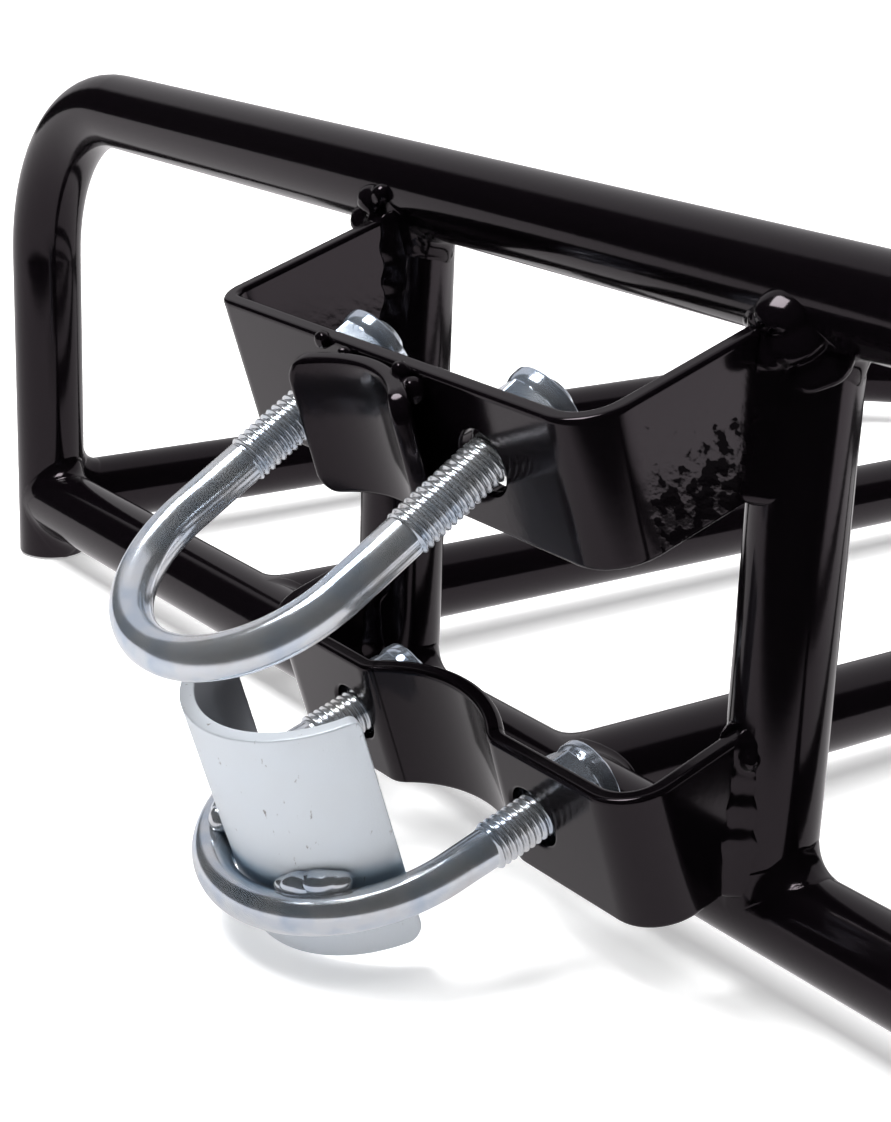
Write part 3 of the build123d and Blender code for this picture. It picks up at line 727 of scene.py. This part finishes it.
def boltPiece(node, origin, acrossWay, alongWay, values):
    halfStrip = strip["thick"] / 2
    legEnd = values["seat"] + washer["thick"] + nut["height"] + uBolt["standOut"]
    bowY = -(halfStrip + values["leg"])
    threadLength = legEnd + halfStrip + values["thread"]
    steps = int(threadLength / uBolt["pitch"] * uBolt["perPitch"])
    threadAt = np.linspace(0, threadLength, steps)
    plainAt = np.linspace(threadLength + 0.05 * mm, legEnd - bowY, 12)[:-1]
    arc = np.linspace(0, np.pi, 73)
    leg = np.concatenate([threadAt, plainAt])
    x, y = values["legHalf"], legEnd - leg
    path = np.concatenate([np.stack([np.full(len(leg), -x), y], -1),
                           np.stack([-x * np.cos(arc), bowY - x * np.sin(arc)], -1),
                           np.stack([np.full(len(leg), x), y[::-1]], -1)])
    ahead = np.concatenate([np.repeat([[0.0, -1.0]], len(leg), 0),
                            np.stack([np.sin(arc), -np.cos(arc)], -1),
                            np.repeat([[0.0, 1.0]], len(leg), 0)])
    fromEnd = np.concatenate([leg, np.full(len(arc), 1.0), leg[::-1]])
    travel = np.concatenate([leg, leg[-1] + 1 * mm + arc * x,
                             leg[-1] + 2 * mm + np.pi * x + leg[-1] - leg[::-1]])
    angle = np.arange(uBolt["sides"]) * 2 * np.pi / uBolt["sides"]
    wave = (travel[:, None] / uBolt["pitch"] - angle / (2 * np.pi)) % 1
    vee = np.clip((1 - np.abs(2 * wave - 1) * 2) * uBolt["steep"] + 0.5, 0, 1)
    vee = smoothStep(vee) * uBolt["eased"] + vee * (1 - uBolt["eased"])
    threaded = uBolt["rootR"] + (uBolt["threadR"] - uBolt["rootR"]) * vee
    fade = np.clip((threadLength - fromEnd) / (uBolt["runout"] * uBolt["pitch"]), 0, 1)[:, None]
    radius = values["rodR"] + (threaded - values["rodR"]) * fade
    tip = uBolt["threadR"] - uBolt["chamfer"] + np.maximum(fromEnd, 0)
    radius = np.minimum(radius, tip[:, None])
    # bending thinned the rod in the bow's plane and spread it a little the other way
    plainEnd = bowY + values["rodR"] * 2
    inBow = np.clip((plainEnd - path[:, 1:]) / (plainEnd - bowY), 0, 1)
    section = np.stack([radius * np.cos(angle) * (1 - uBolt["flattened"] * inBow),
                        radius * np.sin(angle) * (1 + uBolt["flattened"] / 3 * inBow)], -1)
    flat, ahead = (np.pad(rows, ((0, 0), (0, 1))) for rows in (path, ahead))
    rings = place(sweep(flat, ahead, np.array([0, 0, 1.0]), section), origin, acrossWay, alongWay)
    length = np.broadcast_to(travel[:, None], radius.shape)
    around = np.broadcast_to(circle(values["rodR"], uBolt["sides"]), (*radius.shape, 2))
    where = np.concatenate([length[..., None], around], -1)
    piece = makePiece(node + "_plated", [(rings, False, True)], rodZinc, sharpAngle=50,
                      attribute=where.reshape(-1, 3))
    stands(piece, node)


alongDroop = np.array([0, -legWay[2], legWay[1]])
boltPiece("upper_u_bolt", upperPivot, legWay, alongDroop, upperBolt)
boltPiece("lower_u_bolt", lowerPivot, acrossUpper, alongUpper, lowerBolt)
print("U-bolts rolled and plated")


# Washers and nuts: profiles turned about the leg. The nut's side is the smallest of a hexagon with
# eased corners and two chamfer cones, and beyond it a waist swells into a round rim.
def washerPiece(node, centre, wayOut, alongWay):
    section = roundedRectangle(washer["outerR"] - washer["innerR"], washer["thick"], washer["edge"])
    radius = (washer["outerR"] + washer["innerR"]) / 2 + section[:, :1]
    height = section[:, 1:] + washer["thick"] / 2
    ring = circle(1, washer["sides"])
    points = np.stack([radius * ring[:, 0], np.repeat(height, len(ring), 1), radius * ring[:, 1]], -1)
    piece = makePiece(node + "_plated", [(place(points, centre, wayOut, alongWay), True, True)],
                      plateZinc, 60)
    stands(piece, node)


def waistAt(height):
    # the radius where the hexagon runs out into the round collar
    rise = (height - nut["waistFrom"]) / (nut["rimFrom"] - nut["waistFrom"])
    return nut["waistR"] + (nut["collarR"] - nut["waistR"]) * smoothStep(np.clip(rise, 0, 1))


def nutPiece(node, centre, wayOut, alongWay):
    spread = np.sin(np.linspace(-1, 1, nut["perSide"] + 1)[:-1] * np.pi / 2) * np.pi / 6
    angle = (np.arange(6)[:, None] * np.pi / 3 + spread).ravel()
    facing = np.maximum(np.cos(angle[:, None] - np.arange(6) * np.pi / 3), 0)
    hexagon = nut["flats"] / 2 / (facing ** nut["crisp"]).sum(-1) ** (1 / nut["crisp"])
    chamfer = np.tan(nut["cone"])
    fall = (nut["flats"] / 2 / np.cos(np.pi / 6) - nut["bearingR"]) * chamfer
    height = np.concatenate([np.linspace(0, fall, 14), np.linspace(fall, nut["hexHeight"], 40)[1:]])
    nearCone = nut["bearingR"] + height / chamfer
    farCone = nut["shoulderR"] + (nut["hexHeight"] - height) / chamfer
    waist = np.where(height > nut["waistFrom"], waistAt(height), 0)
    side = np.maximum(np.minimum(hexagon, np.minimum(nearCone, farCone)[:, None]), waist[:, None])
    above = np.linspace(nut["hexHeight"] + 0.02 * mm, nut["height"] - nut["rim"], 12)
    turn = np.linspace(0, np.pi / 2, 6)[1:]
    rimR = nut["collarR"] - nut["rim"] * (1 - np.cos(turn))
    rimZ = nut["height"] - nut["rim"] * (1 - np.sin(turn))
    lead = nut["lead"]
    bore = [[nut["boreR"]], [nut["boreR"] + lead]]
    rounds = np.array([*waistAt(above), *rimR, nut["boreR"] + lead, nut["boreR"]])[:, None]
    radius = np.concatenate([np.repeat(bore, len(angle), 1), side, np.repeat(rounds, len(angle), 1)])
    levels = np.array([lead, 0, *height, *above, *rimZ, nut["height"], nut["height"] - lead])
    points = np.stack([radius * np.cos(angle), np.repeat(levels[:, None], len(angle), 1),
                       radius * np.sin(angle)], -1)
    piece = makePiece(node + "_plated", [(place(points, centre, wayOut, alongWay), True, True)],
                      plateZinc, 40)
    stands(piece, node)


for row, pivot, wayOut, alongWay, values in (("upper", upperPivot, legWay, alongDroop, upperBolt),
                                             ("lower", lowerPivot, acrossUpper, alongUpper, lowerBolt)):
    for side, word in ((-1, "left"), (1, "right")):
        seat = pivot + np.array([side * values["legHalf"], 0, 0]) + wayOut * values["seat"]
        washerPiece(f"{row}_washer_{word}", seat, wayOut, alongWay)
        nutPiece(f"{row}_nut_{word}", seat + wayOut * washer["thick"], wayOut, alongWay)
print("nuts and washers turned")

# The shell's back rests inside the lower bow
bowInside = lowerBolt["leg"] + lowerBolt["legHalf"] - uBolt["bowR"]
shellBack = lowerPivot - acrossUpper * (strip["thick"] / 2 + bowInside)
shellAxis = shellBack + acrossUpper * shell["outerR"]
shellRings = slicePlate(shell, 96) * (-1, -1, 1)
shellCoat = satinZinc(shellBack, alongUpper)
justOutside = shell["outerR"] - shell["wall"] + 0.1 * mm
outside = np.hypot(shellRings[..., 0], shellRings[..., 1]) > justOutside
shellPoints = place(shellRings, shellAxis, acrossUpper, alongUpper)
clampShell = makePiece("clamp_shell_plated", [(shellPoints, False, True)],
                       shellCoat, sharpAngle=60, attribute=outside[..., None] * np.ones(3))
stands(clampShell, "clamp_shell")

# Welds between the shell and the bow: bright, uneven lumps along the bow's inner side. Each lump: turn
# about the shell's axis in degrees, height up it, and half sizes along the bow, out and up, in mm.
shellLumps = ((34, 3.9, (3.8, 2.2, 2.2)), (42, 4.0, (4.0, 2.5, 2.4)), (49, 4.1, (2.4, 2.0, 1.9)),
              (-38, 3.8, (2.6, 2.0, 2.4)), (-46, 3.4, (3.4, 2.2, 2.6)), (27, 3.4, (2.6, 1.6, 1.4)),
              (16, -3.7, (5.0, 2.0, 2.0)), (-42, -3.7, (4.0, 2.0, 2.0)))
reach = shell["outerR"] + 1.0 * mm
lumps = []
for turnDegrees, level, radii in shellLumps:
    turn = np.radians(turnDegrees)
    spin = np.array([[np.cos(turn), np.sin(turn), 0], [-np.sin(turn), np.cos(turn), 0], [0, 0, 1]])
    spot = np.array([reach * np.sin(turn), -reach * np.cos(turn), level * mm])
    points = blob(radii, len(lumps) + 50) @ spin + spot
    lumps.append((place(points, shellAxis, acrossUpper, alongUpper), False, True))
lumpPlaces = np.concatenate([lump[0].reshape(-1, 3) for lump in lumps])
shellWelds = makePiece("shell_welds_plated", lumps, rodZinc, sharpAngle=70, attribute=lumpPlaces)
stands(shellWelds, "shell_welds")
print("shell welded into the lower bow")


# Camera: at the corner of the clamp side, looking down along the load platform
camera = dict(location=(0.27003, -0.34073, 0.17212), yaw=0.929, pitch=0.322, roll=0.040, lens=69.90)
yaw, pitch, roll = camera["yaw"], camera["pitch"], camera["roll"]
ahead = np.array([-np.sin(yaw) * np.cos(pitch), np.cos(yaw) * np.cos(pitch), -np.sin(pitch)])
right = np.array([np.cos(yaw), np.sin(yaw), 0])
upward = np.cross(right, ahead)
rightRolled = np.cos(roll) * right + np.sin(roll) * upward
upRolled = -np.sin(roll) * right + np.cos(roll) * upward
lensData = bpy.data.cameras.new("camera")
lensData.sensor_fit, lensData.sensor_height, lensData.lens = "VERTICAL", 36, camera["lens"]
lensData.clip_start, lensData.clip_end = 0.01, 50
eye = addObject("camera", lensData)
aim(eye, rightRolled, upRolled, -ahead, camera["location"])
bpy.context.scene.camera = eye


# Studio: a white table in a white cove, as the camera sees it. What shines in the coat and the plate is
# a sheet of paper under the carrier, brighter at the far right, shaded under the clamp and ending near
# the camera, then a dark room with a pale wall far left, and one soft box above.
studio = dict(table="#FFFFFF", tableZ=-0.4 * mm, glow=0.42,
              paper=0.95, paperZ=-0.8 * mm, paperColour=(1, 0.97, 0.985, 1),
              nearWay=(0.64, -0.77, 0), nearEdge=(0.215, 0.245),
              hotPaper=1.6, hotWay=(0.8, 0.6, 0), hotEdge=(0.10, 0.26),
              shade=(0, -0.15, 0), shaded=0.75, shadeEdge=(0.03, 0.10),
              room=0.012, wall=0.55, wallWay=(-0.55, 0.65, 0.52), wallEdge=(0.60, 0.67),
              roomColour=(1, 0.97, 1, 1), boxesFace=(0, -0.12, 0.05), boxes=(
                  # place, size in metres, power in watts, whether it shines in the coat
                  ((-0.26, -0.50, 1.05), (0.42, 0.42), 9, True),
                  ((-0.2, 0.1, 2.2), (3.2, 3.2), 95, False)))


def flatPiece(name, points, z, material):
    mesh = bpy.data.meshes.new(name)
    mesh.from_pydata([(x, y, z) for x, y in points], [], [tuple(range(len(points)))])
    mesh.materials.append(material)
    piece = addObject(name, mesh)
    return piece


farOut = 8.0
square = [(-farOut, -farOut), (farOut, -farOut), (farOut, farOut), (-farOut, farOut)]
tableCoat, tree, shader = newMaterial("white table")
setInputs(tree, shader, {"Base Color": linear(studio["table"]), "Roughness": 0.9, "Specular IOR Level": 0.1,
                         "Emission Color": (1, 1, 1, 1), "Emission Strength": studio["glow"]})
table = flatPiece("table", square, studio["tableZ"], tableCoat)
table.visible_glossy = False

paperCoat, tree, shader = newMaterial("lit paper")
where = addNode(tree, "TexCoord").outputs["Object"]
edge = remap(tree, distanceAlong(tree, where, studio["nearWay"]), studio["nearEdge"], (1.0, 0.0))
hot = remap(tree, distanceAlong(tree, where, studio["hotWay"]), studio["hotEdge"],
            (studio["paper"], studio["hotPaper"]), interpolation_type="SMOOTHSTEP")
toClamp = addNode(tree, "VectorMath", {0: where, 1: studio["shade"]}, operation="DISTANCE")
shade = remap(tree, toClamp.outputs["Value"], studio["shadeEdge"], (studio["shaded"], 1.0),
              interpolation_type="SMOOTHSTEP")
glow = maths(tree, "MULTIPLY", maths(tree, "MULTIPLY", hot, edge), shade)
setInputs(tree, shader, {"Base Color": (0, 0, 0, 1), "Specular IOR Level": 0.0,
                         "Emission Color": studio["paperColour"], "Emission Strength": glow})
paper = flatPiece("paper", square, studio["paperZ"], paperCoat)
paper.visible_camera = paper.visible_diffuse = paper.visible_shadow = False

for number, (spot, size, power, shines) in enumerate(studio["boxes"]):
    lamp = bpy.data.lights.new(f"soft box {number}", "AREA")
    lamp.shape, (lamp.size, lamp.size_y), lamp.energy = "RECTANGLE", size, power
    box = addObject(f"soft box {number}", lamp)
    away = unit(np.array(spot) - np.array(studio["boxesFace"]))
    sideways = unit(np.cross((0, 1, 0.01), away))
    aim(box, sideways, np.cross(away, sideways), away, spot)
    box.visible_glossy = shines

cove = bpy.data.meshes.new("cove")
coveRows, coveSides, coveR = 16, 48, farOut * 0.95
coveGrid = np.linspace(0, 0.98 * np.pi / 2, coveRows)[:, None]
coveTurn = np.arange(coveSides) * 2 * np.pi / coveSides
covePoints = coveR * np.stack([np.cos(coveGrid) * np.cos(coveTurn), np.cos(coveGrid) * np.sin(coveTurn),
                               np.sin(coveGrid) + 0 * coveTurn], -1)
coveFaces = gridFaces(coveRows, coveSides, False, True)
cove.from_pydata(covePoints.reshape(-1, 3).tolist(), [], coveFaces.tolist())
coveCoat, tree, shader = newMaterial("white cove")
setInputs(tree, shader, {"Base Color": (0, 0, 0, 1), "Emission Color": (1, 1, 1, 1),
                         "Emission Strength": 1.0})
cove.materials.append(coveCoat)
coveObject = addObject("cove", cove)
coveObject.visible_glossy = coveObject.visible_diffuse = coveObject.visible_shadow = False

world = bpy.data.worlds.new("room")
world.use_nodes = True
tree = world.node_tree
way = addNode(tree, "TexCoord").outputs["Generated"]
toWall = distanceAlong(tree, way, unit(np.array(studio["wallWay"])))
strength = remap(tree, toWall, studio["wallEdge"], (studio["room"], studio["wall"]))
setInputs(tree, tree.nodes["Background"], {"Color": studio["roomColour"], "Strength": strength})
bpy.context.scene.world = world
bpy.context.scene.view_settings.view_transform = "Standard"
print("camera and studio placed")
